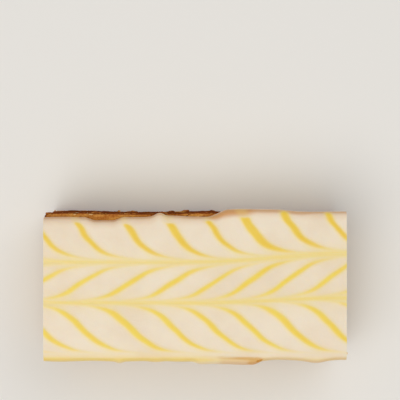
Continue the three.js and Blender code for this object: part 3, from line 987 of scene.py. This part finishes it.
def cut_end(upper, lower, roll, end):
    """A cut end as a grid of points from the upper side down to the underside, uneven but at its rim,
    and its values. Its faces turn the same way as the rest."""
    share = np.linspace(0, 1, CUT_STEPS)[:, None]
    face = straight([upper[end], lower[end]], CUT_STEPS)
    below = np.linalg.norm(face - upper[end], axis=-1)
    uneven = 0.16 * (0.5 + 0.5 * rough(face[..., 1] / 1.1, face[..., 2] / 0.7, end, 95, 2))
    inner = np.sin(np.pi * share) ** 0.5 * ease(below[-1], 0.0, 0.5)
    face[..., 0] -= np.sign(STATIONS[end]) * uneven * inner
    values = {"depth": ease(below / LINE_DEPTH), "roll": roll[end] * (1 - share), "thin": 0.0}
    values["piped"] = piped_here(face[..., 0], face[..., 1])
    turn = slice(None, None, -1) if end == 0 else slice(None)
    return face[:, turn], {n: np.broadcast_to(v, below.shape)[:, turn] for n, v in values.items()}


def icing_skin():
    """The rolled edges and the top between them at every station, and the two cut ends. The values say
    where lines were piped, how deep a point lies, how far the edge rolls over, and how much tan shows."""
    upper, lower = icing_sections()
    x, y, z = np.moveaxis(upper, -1, 0)
    roll = np.maximum(ease(icing_back(x) - y, *ROLL_OVER), ease(y - icing_front(x), *ROLL_OVER))
    crease = bell(y, line(x, *CREASE_MIDDLE), line(x, *CREASE_SPREAD)) * plateau(x, *CREASE_RUN)
    relief = icing_relief(x, y) * (1.0 - roll) - CREASE_DEPTH * crease
    z += relief * ease(z, ICING_Z, ICING_Z + 0.8)
    under = np.ones((len(STATIONS), lower.shape[1] - 1))
    values = {
        "piped": np.hstack([piped_here(x, y), 0.0 * under]),
        "depth": np.hstack([np.zeros(x.shape), under]),
        "roll": np.hstack([roll, under]),
        "thin": np.hstack([thin_and_shaded_places(x, y, z, roll, crease), 0.0 * under]),
    }
    ring = np.concatenate([upper, lower[:, -2::-1]], axis=1)
    return [(ring, values), *(cut_end(upper, lower, roll, end) for end in (0, -1))]


# ---- Loose bits ----

# Flakes on the two sheets: which sides, lowest and highest, and how many.
FLAKES = ((BASE_SIDES, BASE_Z, CUSTARD_Z, 46), (LID_SIDES, LID_Z, ICING_Z - 1.6, 26))
FLAKE_LENGTH = (1.2, 3.8)
FLAKE_WIDTH = (0.9, 1.9)
CHIP_HALF = 0.07  # half of a chip's thickness
STUCK_FLAKE = (2.1, 1.7)  # length and width of the one at the icing's front edge
STUCK_AT = (19.5, -21.95, TOP_Z - 0.36)
STUCK_ALONG = (0.94, 0.3, -0.16)
STUCK_UP = (0.0, 0.75, 0.66)
CRUMBS = 90
CRUMB_SIZE = (0.1, 0.36)
CRUMB_BULGE = 0.5  # a little less than the custard's, which presses them in


def unit(v):
    return v / np.linalg.norm(v)


def turned(points, along, out):
    """Points given along, outwards and up, set into that frame."""
    up = np.cross(along, out)
    return points[..., :1] * along + points[..., 1:2] * out + points[..., 2:] * up


def chip(random, length, width):
    """A thin curled chip of leaf with a ragged outline: two faces over a rounded square, whose distance
    falls to nothing at the rim."""
    a, b = np.meshgrid(np.linspace(-1, 1, 11), np.linspace(-1, 1, 9), indexing="ij")
    round_a, round_b = a * np.sqrt(1 - b * b / 2), b * np.sqrt(1 - a * a / 2)
    seed = int(random.integers(1, 9999))
    ragged = 1 + 0.3 * rough(round_a * 1.5, round_b * 1.5, seed, seed, 2)
    x, y = round_a * ragged * length / 2, round_b * ragged * width / 2
    bend_along, bend_across = random.uniform(-0.25, 0.35), random.uniform(-0.2, 0.3)
    curl = bend_along * (x / length * 2) ** 2 + bend_across * (y / width * 2) ** 2
    curl = curl + 0.1 * rough(x / 1.2, y / 1.2, seed, seed + 3)
    rim = np.maximum(abs(a), abs(b))
    half = CHIP_HALF * np.sqrt(np.clip(1 - rim**4, 0, None))
    bake = 0.5 + 0.3 * rough(x / 1.5, y / 1.5, seed, seed + 7, 2) + random.uniform(-0.15, 0.2)
    upper = np.stack([x, y, curl + half], axis=-1)
    lower = np.stack([x, y, curl - half], axis=-1)
    return [(upper, {"bake": bake}), (lower[:, ::-1], {"bake": bake[:, ::-1]})]


def side_frame(outline, at):
    """The direction along the outline at a place, and the one outwards."""
    ring = outline.ring(0.0, 0.0)
    along = unit(ring[(at + 2) % len(outline.x)] - ring[at - 2])
    return along, np.cross(along, [0.0, 0.0, 1.0])


def loose_flakes():
    """Chips that have lifted off the sheets' sides and still hang on by their inner half, and one that
    sticks to the icing's front edge."""
    random = np.random.default_rng(17)
    grids = []
    for sides, low, high, count in FLAKES:
        outline = Outline(sides, count=900)
        for at in random.integers(8, 890, count):
            along, out = side_frame(outline, at)
            tilt = random.uniform(-0.35, 0.35)
            out = out * np.cos(tilt) + np.array([0.0, 0.0, np.sin(tilt)])
            swing = random.uniform(-0.4, 0.4)
            across = along * np.cos(swing) + out * np.sin(swing)
            away = out * np.cos(swing) - along * np.sin(swing)
            length, width = random.uniform(*FLAKE_LENGTH), random.uniform(*FLAKE_WIDTH)
            place = np.array([outline.x[at], outline.y[at], random.uniform(low + 1.4, high - 0.6)])
            place = place - out * random.uniform(0.25, 0.6) * width
            # Browner towards the back, as on the sheets: partly real browning, partly painted shadow.
            browner_and_shadow = 0.3 * ease(place[1], 10.0, 20.0)
            for points, values in chip(random, length, width):
                grids.append((turned(points, across, away) + place, {"bake": values["bake"] + browner_and_shadow}))
    along = unit(np.array(STUCK_ALONG))
    out = unit(np.cross(STUCK_UP, along))
    for points, values in chip(random, *STUCK_FLAKE):
        bake = 0.55 + 0.3 * (values["bake"] - 0.5)
        grids.append((turned(points, along, -out) + np.array(STUCK_AT), {"bake": bake}))
    return grids


def crumbs():
    """Crumbs of pastry that the knife left on the custard: lumpy balls pressed into its sides."""
    random = np.random.default_rng(31)
    outline = Outline(CUSTARD_SIDES, count=900)
    tilt, turn = np.meshgrid(np.linspace(0, np.pi, 7), np.linspace(0, 2 * np.pi, 10), indexing="ij")
    ball = np.stack([np.sin(tilt) * np.cos(turn), np.sin(tilt) * np.sin(turn), np.cos(tilt)], axis=-1)
    grids = []
    for n, at in enumerate(random.integers(0, 900, CRUMBS)):
        _, out = side_frame(outline, at)
        radius = random.uniform(*CRUMB_SIZE)
        size = radius * np.array([random.uniform(0.7, 1.4), random.uniform(0.7, 1.4), 0.7])
        lumpy = 1 + 0.55 * rough(ball[..., 0] * 1.3, ball[..., 1] * 1.3, ball[..., 2] + n * 5.3, 41, 2)
        low_down, anywhere = CUSTARD_Z + random.uniform(0.2, 4.0), random.uniform(CUSTARD_Z, LID_Z)
        height = random.choice([low_down, anywhere])
        place = np.array([outline.x[at], outline.y[at], height])
        level = np.pi * (height - CUSTARD_Z) / (LID_Z - CUSTARD_Z)
        inset = CUSTARD_INSET - CRUMB_BULGE * np.sin(level)
        bake = random.uniform(0.15, 0.55)
        grids.append((ball * lumpy[..., None] * size + place - out * inset, {"bake": bake}))
    return grids


# ---- The slice ----

pastry = pastry_finish()

base = make_piece("base_leaves", pastry_base(), pastry, sharp=38.0)
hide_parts("pastry_base")

filling = make_piece("custard_filling", custard_block(), custard_finish(), sharp=60.0)
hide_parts("custard")

lid = make_piece("lid_leaves", pastry_lid(), pastry, sharp=38.0)
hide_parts("pastry_lid")

icing = make_piece("feathered_top", icing_skin(), icing_finish(), sharp=42.0)
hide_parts("icing")

make_piece("loose_flakes", loose_flakes(), pastry, sharp=60.0)
make_piece("crumbs", crumbs(), pastry, sharp=60.0)


# ---- Studio ----

# The camera looks straight down from above a point behind the slice's middle.
VIEW_SPAN = 121.2  # across the view at the icing's top, in mm
VIEW_AT = (1.5, 26.4)
LENS = 120.0
SENSOR = 36.0

# Places and sizes in metres, and powers in watts.
FLOOR_REACH = 3.0
FLOOR_TONE = tone(236, 233, 228)
LIGHTS = (
    ("key_box", (-0.3, -0.35, 0.95), 0.9, 5.85, (1.0, 0.98, 0.95)),
    ("fill_box", (0.45, 0.6, 0.75), 1.0, 3.2, (0.95, 0.98, 1.0)),
)
ROOM_LIGHT = 0.39


def make_floor():
    finish = Finish("pale_floor", Base_Color=FLOOR_TONE, Roughness=0.7)
    mesh = bpy.data.meshes.new("floor")
    corners = [(x * FLOOR_REACH, y * FLOOR_REACH, 0.0) for x, y in ((-1, -1), (1, -1), (1, 1), (-1, 1))]
    mesh.from_pydata(corners, [], [(0, 1, 2, 3)])
    mesh.materials.append(finish.material)
    floor = bpy.data.objects.new("floor", mesh)
    bpy.context.scene.collection.objects.link(floor)


def make_light(name, place, size, power, colour):
    """A square soft box that faces the slice."""
    lamp = bpy.data.lights.new(name, "AREA")
    lamp.shape = "SQUARE"
    lamp.size = size
    lamp.energy = power
    lamp.color = colour
    box = bpy.data.objects.new(name, lamp)
    box.location = place
    box.rotation_euler = (-Vector(place)).to_track_quat("-Z", "Y").to_euler()
    bpy.context.scene.collection.objects.link(box)


def make_world():
    world = bpy.data.worlds.new("studio")
    world.use_nodes = True
    sky = world.node_tree.nodes["Background"]
    sky.inputs["Color"].default_value = (1.0, 1.0, 1.0, 1.0)
    sky.inputs["Strength"].default_value = ROOM_LIGHT
    bpy.context.scene.world = world


def make_camera():
    lens = bpy.data.cameras.new("camera")
    lens.lens = LENS
    lens.sensor_width = SENSOR
    camera = bpy.data.objects.new("camera", lens)
    above = TOP_Z + VIEW_SPAN * LENS / SENSOR
    camera.location = Vector(in_metres(np.array([*VIEW_AT, above])))
    bpy.context.scene.collection.objects.link(camera)
    bpy.context.scene.camera = camera


make_floor()
for light in LIGHTS:
    make_light(*light)
make_world()
make_camera()
bpy.context.scene.view_settings.view_transform = "Standard"
